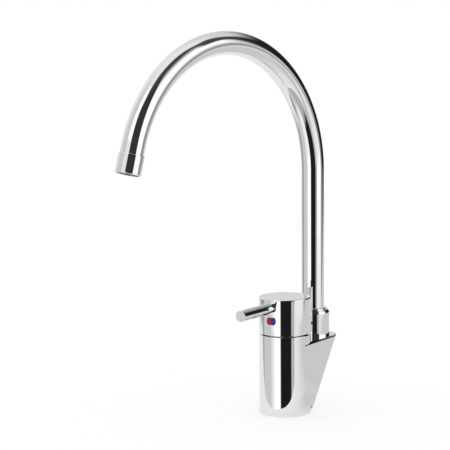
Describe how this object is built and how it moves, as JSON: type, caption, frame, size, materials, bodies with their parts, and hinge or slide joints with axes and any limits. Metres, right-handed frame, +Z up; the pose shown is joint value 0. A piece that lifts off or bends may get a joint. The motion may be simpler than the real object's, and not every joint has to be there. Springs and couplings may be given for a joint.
{
  "type": "three way filtered water tap",
  "caption": "Chromed single lever kitchen mixer tap with hot, cold and filtered water ways, round body with a sloping arm and a tall swivelling gooseneck spout.",
  "frame": {"origin": "centre of the round body at the face that rests on the sink, at the mouth of the fixing stud hole", "axes": "+Z up along the body, -Y from the body towards the lever, +Y from the body towards the arm that carries the spout, +X to the right as seen from the lever"},
  "size_m": [0.0786, 0.2834, 0.3718],
  "materials": {
    "chrome": "polished chrome plating on brass",
    "brass": "machined",
    "steel": "bright stainless",
    "white_plastic": "moulded, satin",
    "grey_plastic": "moulded, satin",
    "ceramic": "lapped ceramic",
    "rubber": "moulded rubber",
    "red": "gloss",
    "blue": "gloss"
  },
  "bodies": {
    "tap_body": {"base_gasket": "rubber", "body_casting": "chrome", "cartridge_base": "grey_plastic", "cartridge_housing": "white_plastic", "cartridge_seals": "rubber", "collar_bearing_ring": "white_plastic", "filtered_water_spigot": "brass", "fixed_disc": "ceramic", "inlet_block": "brass", "inlet_seals": "rubber", "retaining_nut": "brass", "spigot_seal": "rubber", "spout_collar": "chrome", "spout_stop_screw": "steel", "thrust_washer": "white_plastic"},
    "rotor": {"cartridge_rotor": "white_plastic", "tilt_pin": "steel"},
    "disc": {"moving_disc": "ceramic", "disc_carrier": "white_plastic"},
    "handle": {"control_stem": "brass", "handle_cap": "chrome", "pin_lever": "chrome", "index_ring": "chrome", "index_hot": "red", "index_cold": "blue", "handle_screw": "steel"},
    "spout": {"spout_tube": "chrome", "swivel_nipple": "brass", "swivel_seals": "rubber", "filtered_water_tube": "grey_plastic", "aerator_housing": "chrome", "aerator_insert": "grey_plastic", "aerator_seal": "rubber"}
  },
  "joints": [
    {"name": "lever_turn", "type": "hinge", "parent": "tap_body", "child": "rotor", "pos_m": [0, 0, 0.081], "axis": [0, 0, 1], "range_deg": [-50, 90]},
    {"name": "lever_lift", "type": "hinge", "parent": "rotor", "child": "handle", "pos_m": [0, 0.012, 0.085], "axis": [-1, 0, 0], "range_deg": [0, 16]},
    {"name": "disc_slide", "type": "slide", "parent": "rotor", "child": "disc", "axis": [0, 1, 0], "range_m": [-0.0048, 0]},
    {"name": "spout_swivel", "type": "hinge", "parent": "tap_body", "child": "spout", "pos_m": [0, 0.052, 0.068], "axis": [0, 0, 1], "range_deg": [-60.5, 79.5]}
  ],
  "couplings": [
    {"joint": "disc_slide", "follows": "lever_lift", "m_per_rad": -0.017089}
  ]
}
